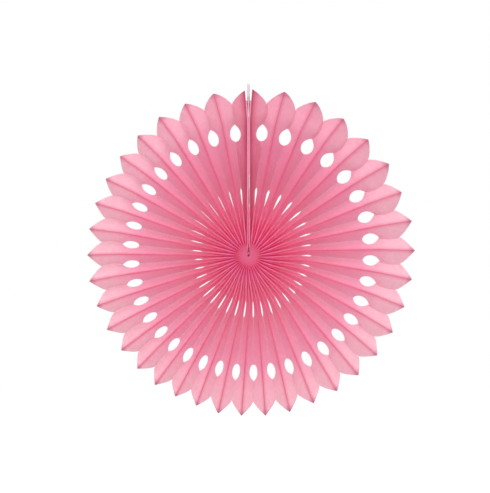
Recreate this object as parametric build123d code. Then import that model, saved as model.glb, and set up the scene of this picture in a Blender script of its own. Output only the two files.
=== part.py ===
"""A die-cut paper fan: one strip of tissue, folded into pleats and opened into a full circle.

The fan hangs upright. X runs to the right, Y from the front to the back, and Z up. The origin is the small eye
in the middle of the packed hub, halfway through the fan's depth. Bearings are clockwise from the seam at the top.
The pleats have front folds, which carry the holes and slits, and back folds, which end in the petals' tips.
"""

import os
from math import asin, cos, hypot, pi, radians, sin, sqrt

from build123d import *

# The tissue strip, and the lengths along its folds from the rim's middle to the petals' tips
ridge_count = 37
paper_thickness = 0.5
slit_inner_radius = 58.0
slit_length = 21.0
plain_length = 57.5
eye_length = 21.5
free_side_length = 24.0
petal_length = 18.0
hub_depth = 24.0
rim_depth = 17.0

# The packed hub, which sits lower and further left than the middle of the rim
hub_radius = 12.0
rim_centre_right = 2.8
rim_centre_rise = 3.2
straight_radius = 70.0

# How the opened pleats crowd at the lower left, as swells once, twice and three times round
crowding_shares = {1: 0.143, 2: 0.0098, 3: 0.0104}
crowding_bearings = {1: 26.8, 2: 84.1, 3: 42.8}

# The ring of eye-shaped holes, and the ring of slits inside it
eye_cut = 10.5
eye_heel_power = 0.55
eye_point_power = 0.75
eye_steps = 7
slit_cut = 3.6
slit_point_share = 0.3

# The petals' sides swell outwards, and each free side laps over the next petal
petal_swell_share = 0.055
side_steps = 4
lap_width = 3.4
lap_least_share = 0.15
lap_widest_bearing = 20.0

# The seam: two cards stuck together, with the strip's end flaps on their outer faces
card_thickness = 1.0
card_overhang = 6.5
card_inner_gap = 1.2
tape_thickness = 0.6
tape_inset = 1.75
tape_hub_gap = 8.0
flap_glue_margin = 4.0
flap_lift = 3.0

# The hub's eye is a little wider than the seam
eye_margin = 0.2

# The thread that ties the inner ends
thread_diameter = 0.8
thread_ring_radius = 6.0
thread_clearance = 0.1
stitch_count = 12
thread_sides = 8

# One overrun serves every cut
overrun = 4.0

# Where the folds are set out between the hub and the slits, and how far the other stations keep off the cuts
inner_station_shares = (0, 0.19, 0.54)
station_margin = 2.0

fold_count = 2 * ridge_count
seam_half = card_thickness + tape_thickness / 2
eye_radius = seam_half + eye_margin
slit_outer_radius = slit_inner_radius + slit_length
eye_inner_radius = slit_outer_radius + plain_length
eye_outer_radius = eye_inner_radius + eye_length
notch_radius = eye_outer_radius + free_side_length
tip_radius = notch_radius + petal_length
blank_radius = tip_radius + overrun
flap_free_radius = eye_outer_radius + flap_glue_margin


def tip_lift(radius):
    """How far an end flap stands off its card: nothing up to its free end, then more towards the tip."""
    return flap_lift * max(0, (radius - flap_free_radius) / (tip_radius - flap_free_radius))


def centre_shift(radius):
    """Share of the way from the hub's middle to the rim's middle that the folds point to at a radius."""
    reach = min(1, (radius - hub_radius) / (straight_radius - hub_radius))
    return reach * reach * (3 - 2 * reach)


def fold_bearing(fold, radius):
    """Bearing of a fold: even folds are at the back, odd ones at the front, and the seam takes its width."""
    side = seam_half + paper_thickness + tip_lift(radius)
    lean = centre_shift(radius) * rim_centre_right
    first = asin((side - lean) / radius)
    last = 2 * pi - asin((side + lean) / radius)
    turn = 2 * pi * fold / fold_count
    bearing = first + (last - first) * fold / fold_count
    for times, share in crowding_shares.items():
        start = radians(crowding_bearings[times])
        bearing += share * (sin(times * turn - start) + sin(start))
    return bearing


def plan_point(fold, radius):
    """Place of a fold on the fan's plan."""
    shift = centre_shift(radius)
    bearing = fold_bearing(fold, radius)
    x = shift * rim_centre_right + radius * sin(bearing)
    z = shift * rim_centre_rise + radius * cos(bearing)
    return x, z


def half_pitch(fold, radius):
    """Plan distance from a fold to its neighbours, as the mean of both sides."""
    sides = []
    for other in (fold - 1, fold + 1):
        if 0 <= other <= fold_count:
            here = plan_point(fold, radius)
            there = plan_point(other, radius)
            sides.append(hypot(here[0] - there[0], here[1] - there[1]))
    return sum(sides) / len(sides)


def fold_depth(fold, radius):
    """Front-to-back depth of a fold: less towards the rim, and least where the folds stand widest.

    The end folds run along the backs of the stiff cards, so their depth stays that of the cards.
    """
    if fold in (0, fold_count):
        return hub_depth
    crowding = crowding_shares[1] * cos(fold_bearing(fold, radius) - radians(crowding_bearings[1]))
    depth_at_rim = rim_depth * (1 - crowding)
    reach = (radius - hub_radius) / (tip_radius - hub_radius)
    return hub_depth + (depth_at_rim - hub_depth) * reach * reach


def groove_depth(fold, radius):
    """Depth of the groove between two panels whose skins lie one paper thickness apart."""
    depth = fold_depth(fold, radius)
    pitch = half_pitch(fold, radius)
    root = sqrt(depth**2 + pitch**2 - paper_thickness**2)
    return pitch * (depth * pitch - paper_thickness * root) / (pitch**2 - paper_thickness**2)


def front_point(fold, radius):
    """Point of the front skin on a fold."""
    x, z = plan_point(fold, radius)
    half = fold_depth(fold, radius) / 2
    if fold % 2:
        return Vector(x, -half, z)
    return Vector(x, groove_depth(fold, radius) - half, z)


def back_point(fold, radius):
    """Point of the back skin on a fold."""
    x, z = plan_point(fold, radius)
    half = fold_depth(fold, radius) / 2
    if fold % 2:
        return Vector(x, half - groove_depth(fold, radius), z)
    return Vector(x, half, z)


def flat_face(*points):
    """Plane face through the given corners."""
    return Face(Wire.make_polygon(points, close=True))


def station_radii():
    """Radii at which the folds are set out, from the hub to past the tips, clear of the slits and the holes."""
    slit_start = slit_inner_radius - station_margin
    inner = [hub_radius + share * (slit_start - hub_radius) for share in inner_station_shares]
    slit_end = slit_outer_radius + station_margin
    eye_start = eye_inner_radius - station_margin
    return inner + [slit_start, slit_end, (slit_end + eye_start) / 2, eye_start, blank_radius]


def panel_faces(fold):
    """Both skins of the panel after a fold, as triangles that follow its twist, and its outer end.

    The triangles share the line from the back fold's near point to the front fold's far point, which passes
    behind the hole and the slit.
    """
    faces = []
    radii = station_radii()
    back_fold, front_fold = (fold + 1, fold) if fold % 2 else (fold, fold + 1)
    for inner, outer in zip(radii, radii[1:]):
        for skin in (front_point, back_point):
            shared = skin(back_fold, inner), skin(front_fold, outer)
            faces.append(flat_face(*shared, skin(back_fold, outer)))
            faces.append(flat_face(*shared, skin(front_fold, inner)))
    corners = [front_point(fold, blank_radius), front_point(fold + 1, blank_radius)]
    corners += [back_point(fold + 1, blank_radius), back_point(fold, blank_radius)]
    faces.append(flat_face(*corners))
    return faces


def groove_end_faces(fold):
    """The hub's side wall seen in the grooves before and behind the panel after a fold."""
    faces = []
    for skin, side in ((front_point, -1), (back_point, 1)):
        here = skin(fold, hub_radius)
        there = skin(fold + 1, hub_radius)
        deep, shallow = (here, there) if abs(here.Y) < abs(there.Y) else (there, here)
        edge = Vector(deep.X, side * hub_depth / 2, deep.Z)
        faces.append(flat_face(deep, shallow, edge))
    return faces


def flap_section(fold, radius):
    """Section of an end flap: a thin plate along its card, from the fold at the back to the free front edge."""
    inner_corner = front_point(fold, radius)
    outer_corner = back_point(fold, radius)
    toward_card = -paper_thickness if fold == 0 else paper_thickness
    half = fold_depth(fold, radius) / 2
    front = Vector(inner_corner.X, -half, inner_corner.Z)
    card_front = Vector(inner_corner.X + toward_card, -half, inner_corner.Z)
    card_back = Vector(inner_corner.X + toward_card, half, inner_corner.Z)
    return inner_corner, front, card_front, card_back, outer_corner


def flap_faces(fold):
    """Faces of the end flap that lies on a card."""
    faces = []
    sections = [flap_section(fold, radius) for radius in station_radii()]
    for near, far in zip(sections, sections[1:]):
        for corner in range(len(near) - 1):
            faces.append(flat_face(near[corner], far[corner], near[corner + 1]))
            faces.append(flat_face(near[corner + 1], far[corner], far[corner + 1]))
    faces.append(flat_face(*sections[-1]))
    return faces


def hub_faces():
    """The packed middle, where the inner ends of all pleats are pressed together round the eye."""
    rim = []
    for fold in range(fold_count + 1):
        x, z = plan_point(fold, hub_radius)
        rim.append(Vector(x, -hub_depth / 2, z))
    seam_right = rim[0] - Vector(paper_thickness, 0, 0)
    seam_left = rim[-1] + Vector(paper_thickness, 0, 0)
    foot = sqrt(eye_radius**2 - seam_half**2)
    foot_right = Vector(seam_half, -hub_depth / 2, foot)
    foot_left = Vector(-seam_half, -hub_depth / 2, foot)
    eye_bottom = Vector(0, -hub_depth / 2, -eye_radius)
    outline = [Line(a, b) for a, b in zip(rim, rim[1:])]
    outline += [Line(rim[-1], seam_left), Line(seam_right, rim[0])]
    seam = [Line(seam_left, foot_left), ThreePointArc(foot_left, eye_bottom, foot_right), Line(foot_right, seam_right)]
    front = Face(Wire(outline + seam))
    through = Vector(0, hub_depth, 0)
    walls = [Face.extrude(edge, through) for edge in seam]
    return [front, front.moved(Location(through))] + walls


def pleated_blank():
    """The folded strip before the die: hub, panels and both end flaps as one closed solid."""
    faces = hub_faces()
    for fold in range(fold_count):
        faces += panel_faces(fold) + groove_end_faces(fold)
    faces += flap_faces(0)
    faces += flap_faces(fold_count)
    return Solid(Shell(faces))


def die_eye(half_width):
    """Outline of an eye-shaped hole, by formula: blunt towards the hub and pointed towards the rim.

    The half width at a share s of the length is s to the heel's power times (1 - s) to the point's power,
    scaled to the greatest half width. The points stand closer together at both ends.
    """
    widest = eye_heel_power / (eye_heel_power + eye_point_power)
    greatest = widest**eye_heel_power * (1 - widest) ** eye_point_power
    side = []
    for step in range(1, eye_steps):
        share = (1 - cos(pi * step / eye_steps)) / 2
        width = half_width * share**eye_heel_power * (1 - share) ** eye_point_power / greatest
        side.append((width, eye_inner_radius + share * eye_length))
    right = [Vector(width, height) for width, height in side]
    left = [Vector(-width, height) for width, height in reversed(side)]
    return flat_face(Vector(0, eye_inner_radius), *right, Vector(0, eye_outer_radius), *left)


def die_slit(half_width):
    """Outline of a slit: straight-sided, pointed at each end and widest along its middle stretch."""
    low = slit_inner_radius + slit_point_share * slit_length
    high = slit_outer_radius - slit_point_share * slit_length
    right = [Vector(half_width, low), Vector(half_width, high)]
    left = [Vector(-half_width, high), Vector(-half_width, low)]
    return flat_face(Vector(0, slit_inner_radius), *right, Vector(0, slit_outer_radius), *left)


def seen_width(cut, fold, radius):
    """Width that a cut into the folded edge shows from the front, where the panel stands at its slope."""
    pitch = half_pitch(fold, radius)
    return cut * pitch / hypot(pitch, fold_depth(fold, radius))


def ridge_plane(fold):
    """Plane across the fan, with its Y along a front fold and its origin at the rim's middle."""
    bearing = fold_bearing(fold, eye_inner_radius)
    across = Vector(cos(bearing), 0, -sin(bearing))
    along = Vector(sin(bearing), 0, cos(bearing))
    return Plane(Vector(rim_centre_right, 0, rim_centre_rise), x_dir=across, z_dir=across.cross(along))


def seam_plane():
    """Plane of the seam: X runs back from the front edge of the cards, Y upwards from the rim's middle."""
    corner = Vector(0, -hub_depth / 2, rim_centre_rise)
    return Plane(corner, x_dir=Vector(0, 1, 0), z_dir=Vector(1, 0, 0))


def pleat_cutters():
    """The holes and slits of all front folds."""
    cutters = []
    reach = hub_depth / 2 + overrun
    eye_middle = (eye_inner_radius + eye_outer_radius) / 2
    slit_middle = (slit_inner_radius + slit_outer_radius) / 2
    for ridge in range(ridge_count):
        fold = 2 * ridge + 1
        eye = die_eye(seen_width(eye_cut, fold, eye_middle))
        slit = die_slit(seen_width(slit_cut, fold, slit_middle))
        for face in (eye, slit):
            cutters.append(extrude(ridge_plane(fold) * face, amount=reach, both=True))
    return cutters


def swollen_side(here, there, rise):
    """Points from one corner to the next along a flat parabola that stands off their line by a rise."""
    points = []
    for step in range(side_steps):
        share = step / side_steps
        points.append(here + (there - here) * share + rise * 4 * share * (1 - share))
    return points


def rim_prism():
    """All that the die keeps at the rim: pointed petals between notches, each side swelling outwards."""
    corners = []
    for fold in range(fold_count + 1):
        radius = notch_radius if fold % 2 else tip_radius
        x, z = plan_point(fold, radius)
        corners.append(Vector(x, 0, z))
    points = []
    for here, there in zip(corners, corners[1:]):
        outward = (there - here).cross(Vector(0, 1, 0))
        points += swollen_side(here, there, outward * petal_swell_share)
    points.append(corners[-1])
    return extrude(flat_face(*points), amount=hub_depth, both=True)


def end_outline(bottom, overhang):
    """Die-cut outline of an end flap or card in the seam's plane: a petal's half, its half eye and half slit."""
    tip = Vector(hub_depth, tip_radius + overhang)
    notch = Vector(0, notch_radius + overhang)
    outward = Vector(0, 0, 1).cross(tip - notch)
    side = swollen_side(notch, tip, outward * petal_swell_share)
    return flat_face(*side, tip, Vector(hub_depth, bottom), Vector(0, bottom)) - die_eye(eye_cut) - die_slit(slit_cut)


def end_flap_cutter():
    """What the die takes off the two end flaps: all beyond the petal's half, the half eye and the half slit."""
    low = -rim_centre_rise
    corners = [(-overrun, low), (hub_depth, low), (hub_depth, blank_radius), (-overrun, blank_radius)]
    around = flat_face(*[Vector(*corner) for corner in corners])
    reach = seam_half + paper_thickness + tip_lift(blank_radius)
    return extrude(seam_plane() * (around - end_outline(low, 0)), amount=reach, both=True)


def lap_plate(fold):
    """The free side of the petal before a front fold, where it laps over the next petal in its own plane."""
    inner, outer = station_radii()[-2:]
    foot = front_point(fold, inner)
    head = front_point(fold, outer)
    back = front_point(fold - 1, inner)
    along = (head - foot).normalized()
    square = (foot - back) - along * (foot - back).dot(along)
    across = square.normalized()
    behind = across.cross(along)
    if behind.Y < 0:
        behind = -behind
    swing = (1 + cos(fold_bearing(fold, notch_radius) - radians(lap_widest_bearing))) / 2
    seen = lap_width * (lap_least_share + (1 - lap_least_share) * swing)
    width = seen / hypot(across.X, across.Z)
    low = foot + along * (eye_outer_radius - inner)
    high = foot + along * (notch_radius - inner)
    root = across * -paper_thickness
    plate = flat_face(*swollen_side(low, high, across * width), high, high + root, low + root)
    return extrude(plate, amount=paper_thickness, dir=behind)


def thread_ring(radius):
    """Ring through the inner ends of the pleats and both cards, in short straight stitches."""
    corners = Plane.XZ * PolarLocations(thread_ring_radius, stitch_count, start_angle=180 / stitch_count)
    route = Wire.make_polygon([corner.position for corner in corners], close=True)
    start = route.position_at(0)
    section = Plane(start, z_dir=route.tangent_at(0)) * RegularPolygon(radius, thread_sides)
    return sweep(section, route, transition=Transition.RIGHT)


def pleated_tissue():
    """The whole strip: folded, cut by the die, with the petals' free sides lapped and the thread's channel."""
    sheet = pleated_blank() - pleat_cutters() - end_flap_cutter()
    sheet = sheet & rim_prism()
    laps = [lap_plate(2 * ridge + 1) for ridge in range(ridge_count)]
    sheet = sheet + laps
    return sheet - thread_ring(thread_diameter / 2 + thread_clearance)


def end_card(side):
    """The stiff card on one side of the seam: side is 1 at the right and -1 at the left."""
    outline = end_outline(eye_radius + card_inner_gap - rim_centre_rise, card_overhang)
    inner_face = seam_plane().offset(side * tape_thickness / 2)
    card = extrude(inner_face * outline, amount=card_thickness, dir=Vector(side, 0, 0))
    return card - thread_ring(thread_diameter / 2 + thread_clearance)


def adhesive_strip():
    """Double-sided tape between the cards, behind their half eyes, up to where the flaps come free."""
    width = hub_depth - eye_cut - 2 * tape_inset
    bottom = hub_radius + tape_hub_gap
    length = flap_free_radius + rim_centre_rise - bottom
    corner = Vector(0, hub_depth / 2 - tape_inset, bottom)
    return Pos(corner) * Box(tape_thickness, width, length, align=(Align.CENTER, Align.MAX, Align.MIN))


def binding_thread():
    """The thread that ties the inner ends, drawn into a ring."""
    return thread_ring(thread_diameter / 2)


if __name__ == "__main__":
    os.makedirs("parts", exist_ok=True)
    pieces = {
        "pleated_tissue": pleated_tissue(),
        "right_end_card": end_card(1),
        "left_end_card": end_card(-1),
        "adhesive_strip": adhesive_strip(),
        "binding_thread": binding_thread(),
    }
    for name, piece in pieces.items():
        export_step(piece, f"parts/{name}.step")
        print(name, len(piece.solids()), piece.is_valid, round(piece.volume))
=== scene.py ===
"""A die-cut paper fan in pink tissue, hung in a soft white studio.

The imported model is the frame: its cards, tape and thread stay and get their finishes, and the pleated
tissue is replaced by a thin sheet with free petals. X runs to the right, Y from the front to the back and Z
up, from the small eye in the middle of the hub. Sizes are millimetres until a mesh is made.
"""

from __future__ import annotations

import logging
from collections.abc import Iterable
from dataclasses import dataclass, field
from enum import Enum

import bpy
import numpy as np
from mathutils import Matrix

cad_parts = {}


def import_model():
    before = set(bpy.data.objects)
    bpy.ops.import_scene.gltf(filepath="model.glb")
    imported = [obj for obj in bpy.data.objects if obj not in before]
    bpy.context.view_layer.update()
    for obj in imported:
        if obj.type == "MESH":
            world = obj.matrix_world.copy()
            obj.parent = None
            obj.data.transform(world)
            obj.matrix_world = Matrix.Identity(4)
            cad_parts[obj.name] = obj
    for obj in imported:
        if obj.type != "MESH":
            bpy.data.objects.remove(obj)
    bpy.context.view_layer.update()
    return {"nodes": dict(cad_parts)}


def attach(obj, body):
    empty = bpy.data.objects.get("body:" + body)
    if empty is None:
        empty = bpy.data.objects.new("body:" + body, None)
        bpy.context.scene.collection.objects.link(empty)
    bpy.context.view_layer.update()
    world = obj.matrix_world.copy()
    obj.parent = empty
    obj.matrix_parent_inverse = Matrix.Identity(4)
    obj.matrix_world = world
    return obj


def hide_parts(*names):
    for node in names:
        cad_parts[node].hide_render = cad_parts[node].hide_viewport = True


MM = 0.001
LOG = logging.getLogger("paper_fan")


def linear(hex_colour: str) -> tuple[float, float, float, float]:
    """Turn an sRGB hex colour into linear light, by the curve that the sRGB standard gives.

    Args:
        hex_colour: Six hex digits after a hash.

    Returns:
        Linear red, green and blue, and an alpha of 1.
    """
    parts = np.array([int(hex_colour[place : place + 2], 16) for place in (1, 3, 5)]) / 255
    light = np.where(parts <= 0.04045, parts / 12.92, ((parts + 0.055) / 1.055) ** 2.4)
    return float(light[0]), float(light[1]), float(light[2]), 1.0


def smooth_step(share: np.ndarray) -> np.ndarray:
    """Ease a share from 0 to 1: three times its square less twice its cube, held flat outside."""
    held = np.clip(share, 0, 1)
    return held * held * (3 - 2 * held)


def add_node(
    tree: bpy.types.NodeTree, kind: str, settings: dict | None = None, links: dict | None = None
) -> bpy.types.Node:
    """Add a node with its settings and links.

    Args:
        tree: The node tree it goes in.
        kind: The node's type name.
        settings: Values by name: a property of the node, or else an input socket.
        links: Output sockets by the name or number of the input that they go to.

    Returns:
        The new node.
    """
    node = tree.nodes.new(kind)
    for name, value in (settings or {}).items():
        if isinstance(name, str) and hasattr(node, name):
            setattr(node, name, value)
        else:
            node.inputs[name].default_value = value
    for name, socket in (links or {}).items():
        tree.links.new(socket, node.inputs[name])
    return node


def new_material(name: str) -> tuple[bpy.types.Material, bpy.types.NodeTree]:
    """Make an empty node material.

    Args:
        name: The material's name.

    Returns:
        The material and its cleared node tree.
    """
    material = bpy.data.materials.new(name)
    material.use_nodes = True
    material.node_tree.nodes.clear()
    return material, material.node_tree


def fill_ramp(ramp: bpy.types.Node, stops: tuple[tuple[float, str], ...]) -> None:
    """Set the stops of a colour ramp.

    Args:
        ramp: The colour ramp.
        stops: The place of each stop from 0 to 1, and its sRGB hex colour.
    """
    elements = ramp.color_ramp.elements
    while len(elements) < len(stops):
        elements.new(0.5)
    for element, (place, colour) in zip(elements, stops):
        element.position = place
        element.color = linear(colour)


def dress(piece: bpy.types.Object, material: bpy.types.Material) -> None:
    """Give a piece one material all over."""
    piece.data.materials.clear()
    piece.data.materials.append(material)


@dataclass(frozen=True)
class FanPlan:
    """Where the strip's folds lie in the open fan, in millimetres from the hub's eye.

    Even folds are at the back and end in the petals' tips. Odd folds are ridges at the front. Folds -1 and
    75 are the front edges of the two end flaps, which lie on the cards at the seam. Crowding lists the
    swells of the folds' bearings: how many go round the circle, how big each is in radians, and where it
    starts in degrees.
    """

    ridge_count: int = 37
    strip_panel: float = 24.0
    hub_radius: float = 12.0
    hub_depth: float = 24.0
    rim_depth: float = 17.0
    eye_radius: float = 1.5
    rim_centre_right: float = 2.8
    rim_centre_rise: float = 3.2
    straight_radius: float = 70.0
    tip_radius: float = 200.0
    seam_half: float = 1.3
    flap_gap: float = 0.5
    flap_free_radius: float = 162.0
    flap_lift: float = 3.0
    crowding: tuple[tuple[int, float, float], ...] = ((1, 0.143, 26.8), (2, 0.0098, 84.1), (3, 0.0104, 42.8))

    @property
    def fold_count(self) -> int:
        """Number of the last fold, which is twice the ridges."""
        return 2 * self.ridge_count

    def shift(self, radius: np.ndarray) -> np.ndarray:
        """Share of the way from the hub's middle to the rim's middle that a fold points to at a radius."""
        return smooth_step((radius - self.hub_radius) / (self.straight_radius - self.hub_radius))

    def flap_stand(self, radius: np.ndarray) -> np.ndarray:
        """How far an end flap stands off its card: nothing to its free end, then evenly more to the tip."""
        free = (radius - self.flap_free_radius) / (self.tip_radius - self.flap_free_radius)
        return self.flap_lift * np.clip(free, 0, None)

    def bearing(self, fold: np.ndarray, radius: np.ndarray) -> np.ndarray:
        """Work out where folds point: even steps round the circle, with swells that crowd the lower left.

        Args:
            fold: Numbers of the folds.
            radius: Their distances from the middle.

        Returns:
            Bearings in radians, clockwise from the top.
        """
        side = self.seam_half + self.flap_gap + self.flap_stand(radius)
        lean = self.shift(radius) * self.rim_centre_right
        first = np.arcsin((side - lean) / radius)
        last = 2 * np.pi - np.arcsin((side + lean) / radius)
        turn = 2 * np.pi * fold / self.fold_count
        bearing = first + (last - first) * fold / self.fold_count
        for times, share, degrees in self.crowding:
            start = np.radians(degrees)
            bearing = bearing + share * (np.sin(times * turn - start) + np.sin(start))
        return bearing

    def plan(self, fold: np.ndarray, radius: np.ndarray) -> tuple[np.ndarray, np.ndarray]:
        """Place folds on the plan, round a middle that shifts with the radius.

        Args:
            fold: Numbers of the folds.
            radius: Their distances from the middle.

        Returns:
            How far right of the hub's eye they lie, and how far up.
        """
        bearing = self.bearing(fold, radius)
        shift = self.shift(radius)
        right = shift * self.rim_centre_right + radius * np.sin(bearing)
        rise = shift * self.rim_centre_rise + radius * np.cos(bearing)
        return right, rise

    def depth(self, fold: np.ndarray, radius: np.ndarray) -> np.ndarray:
        """Work out how deep a fold is, front to back.

        The depth falls with the square of the way out, from the hub's to the rim's, and the rim's is less
        where the folds stand wide. The end folds keep the hub's depth.

        Args:
            fold: Numbers of the folds.
            radius: Their distances from the middle.

        Returns:
            Depths, from a back fold to the ridge beside it.
        """
        times, share, degrees = self.crowding[0]
        crowding = share * np.cos(times * self.bearing(fold, radius) - np.radians(degrees))
        at_rim = self.rim_depth * (1 - crowding)
        reach = (radius - self.hub_radius) / (self.tip_radius - self.hub_radius)
        open_depth = self.hub_depth + (at_rim - self.hub_depth) * reach * reach
        return np.where((fold <= 0) | (fold >= self.fold_count), self.hub_depth, open_depth)

    def fold_points(self, fold: np.ndarray, radius: np.ndarray) -> np.ndarray:
        """Place folds in space.

        Args:
            fold: Numbers of the folds, from -1 to 75.
            radius: Their distances from the middle.

        Returns:
            Points, with right, back and up on the last axis.
        """
        real = np.clip(fold, 0, self.fold_count)
        right, rise = self.plan(real, radius)
        toward_seam = np.where(fold < 0, -1, np.where(fold > self.fold_count, 1, 0))
        right = right + toward_seam * self.flap_gap / 2
        side = np.where(fold % 2 == 1, -1, 1)
        back = side * (self.depth(fold, radius) / 2)
        return np.stack(np.broadcast_arrays(right, back, rise), axis=-1)


def nearness(bearing: np.ndarray, middle_degrees: float, sharpness: float = 1.0) -> np.ndarray:
    """Say how near a bearing is to a middle one: 1 there, 0 opposite, as a power of (1 + cosine) / 2."""
    return ((1 + np.cos(bearing - np.radians(middle_degrees))) / 2) ** sharpness


@dataclass(frozen=True)
class DieCut:
    """What the die takes off each folded panel, measured along the fold and in from its front edge.

    The cut is the same on every panel, but it gapes more where the fan is pulled wide: the slits nearly all
    round, in short gaps at the right and the left, and the holes near the top. What counts here is the gap
    that is seen, so its depth changes with the bearing. Bearings are degrees clockwise from the top.
    """

    slit_start: float = 58.0
    slit_end: float = 79.0
    slit_cut: float = 3.6
    slit_heel_power: float = 1.5
    slit_point_power: float = 0.5
    slit_shut_share: float = 0.05
    slit_top_share: float = 1.2
    slit_bottom_share: float = 0.85
    slit_top_bearing: float = 20.0
    slit_bottom_bearing: float = 195.0
    slit_gape_sharpness: float = 8.0
    slit_right_share: float = 0.75
    slit_right_bearing: float = 106.0
    slit_right_sharpness: float = 5.0
    slit_right_late: float = 4.5
    slit_right_short: float = 7.0
    slit_left_share: float = 0.5
    slit_left_bearing: float = 261.0
    slit_left_sharpness: float = 20.0
    slit_left_short: float = 11.0
    eye_start: float = 135.5
    eye_end: float = 157.4
    eye_cut: float = 10.7
    eye_top_share: float = 0.16
    eye_top_bearing: float = 25.0
    eye_top_sharpness: float = 2.0
    eye_left_share: float = 0.2
    eye_left_bearing: float = 290.0
    eye_left_sharpness: float = 4.0
    eye_shortening: float = 2.4
    heel_power: float = 0.52
    sharp_heel_power: float = 0.16
    sharp_heel_bearing: float = 70.0
    sharp_heel_sharpness: float = 2.0
    point_power: float = 0.78
    blunt_point_power: float = 0.5
    sharp_bearing: float = 40.0
    notch_radius: float = 182.0
    petal_swell: float = 0.25
    petal_top_swell: float = 1.8
    petal_top_bearing: float = 10.0
    petal_top_sharpness: float = 6.0
    corner_share: float = 0.78
    corner_drop: float = 2.0

    @staticmethod
    def leaf(
        along: np.ndarray, heel_power: float | np.ndarray, point_power: float | np.ndarray
    ) -> np.ndarray:
        """Work out the width of a leaf-shaped cut: the share along it to one power times the rest to another.

        Args:
            along: Share of the way from its heel to its point.
            heel_power: Power at the heel, blunt under 1.
            point_power: Power at the point.

        Returns:
            Widths as a share of the widest.
        """
        widest = heel_power / (heel_power + point_power)
        greatest = widest**heel_power * (1 - widest) ** point_power
        return along**heel_power * (1 - along) ** point_power / greatest

    def cut(self, radius: np.ndarray, bearing: np.ndarray) -> np.ndarray:
        """Work out the depth of the cut into the front fold.

        A slit and an eye both follow a share of their length to the heel's power times the rest to the
        point's power. A slit gapes most near the top and the bottom, and starts later and ends sooner at
        the sides. The eyes' points are sharp at the upper right, and blunter and shorter at the lower left.

        Args:
            radius: Distances along the fold.
            bearing: Bearings of the fold.

        Returns:
            Depths, as seen once the cut gapes.
        """
        right = nearness(bearing, self.slit_right_bearing, self.slit_right_sharpness)
        left = nearness(bearing, self.slit_left_bearing, self.slit_left_sharpness)
        start = self.slit_start + self.slit_right_late * right
        end = self.slit_end - self.slit_right_short * right - self.slit_left_short * left
        along = np.clip((radius - start) / (end - start), 0, 1)
        slit = self.slit_cut * self.leaf(along, self.slit_heel_power, self.slit_point_power)
        top = self.slit_top_share * nearness(bearing, self.slit_top_bearing, self.slit_gape_sharpness)
        bottom = nearness(bearing, self.slit_bottom_bearing, self.slit_gape_sharpness)
        bottom = self.slit_bottom_share * bottom
        side = self.slit_right_share * right + self.slit_left_share * left
        slit = slit * (self.slit_shut_share + top + bottom + side)
        blunt = 1 - nearness(bearing, self.sharp_bearing)
        end = self.eye_end - self.eye_shortening * blunt
        point_power = self.point_power + (self.blunt_point_power - self.point_power) * blunt
        along = np.clip((radius - self.eye_start) / (end - self.eye_start), 0, 1)
        sharp = nearness(bearing, self.sharp_heel_bearing, self.sharp_heel_sharpness)
        heel_power = self.heel_power + self.sharp_heel_power * sharp
        eye = self.eye_cut * self.leaf(along, heel_power, point_power)
        gape = 1 + self.eye_top_share * nearness(bearing, self.eye_top_bearing, self.eye_top_sharpness)
        shut = nearness(bearing, self.eye_left_bearing, self.eye_left_sharpness)
        gape = gape - self.eye_left_share * shut
        return slit + eye * gape

    def rim(self, across: np.ndarray, tip_radius: np.ndarray, swell: np.ndarray) -> np.ndarray:
        """Work out a petal's edge: a straight line from tip to notch, a parabola on top and a rounded corner.

        Args:
            across: Share of the way from the tip fold to the notch.
            tip_radius: Radius of the tips.
            swell: Height of the parabola.

        Returns:
            Radii of the edge.
        """
        straight = tip_radius + (self.notch_radius - tip_radius) * across
        corner = np.clip((across - self.corner_share) / (1 - self.corner_share), 0, 1)
        return straight + swell * 4 * across * (1 - across) - self.corner_drop * corner**2


class Stack(Enum):
    """How the tissue lies, with the name of its material."""

    SINGLE = "dyed_tissue_paper"
    PACKED = "packed_tissue_paper"


class Fold(Enum):
    """Which fold of a panel, as a share across it."""

    BACK = 0.0
    RIDGE = 1.0


class Fading(Enum):
    """How a tint fades away from its fold, as the name that the node knows."""

    EVEN = "LINEAR"
    SOFT = "SMOOTHSTEP"


@dataclass(frozen=True)
class FoldTint:
    """A tint of painted light and shade beside a fold: strongest on it and gone at its reach.

    Its strength on the fold goes smoothly from the first share to the last over a part of the way out.
    """

    colour: str
    fold: Fold
    reach_mm: float
    shares: tuple[float, float]
    way_out: tuple[float, float]
    fading: Fading = Fading.EVEN


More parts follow.
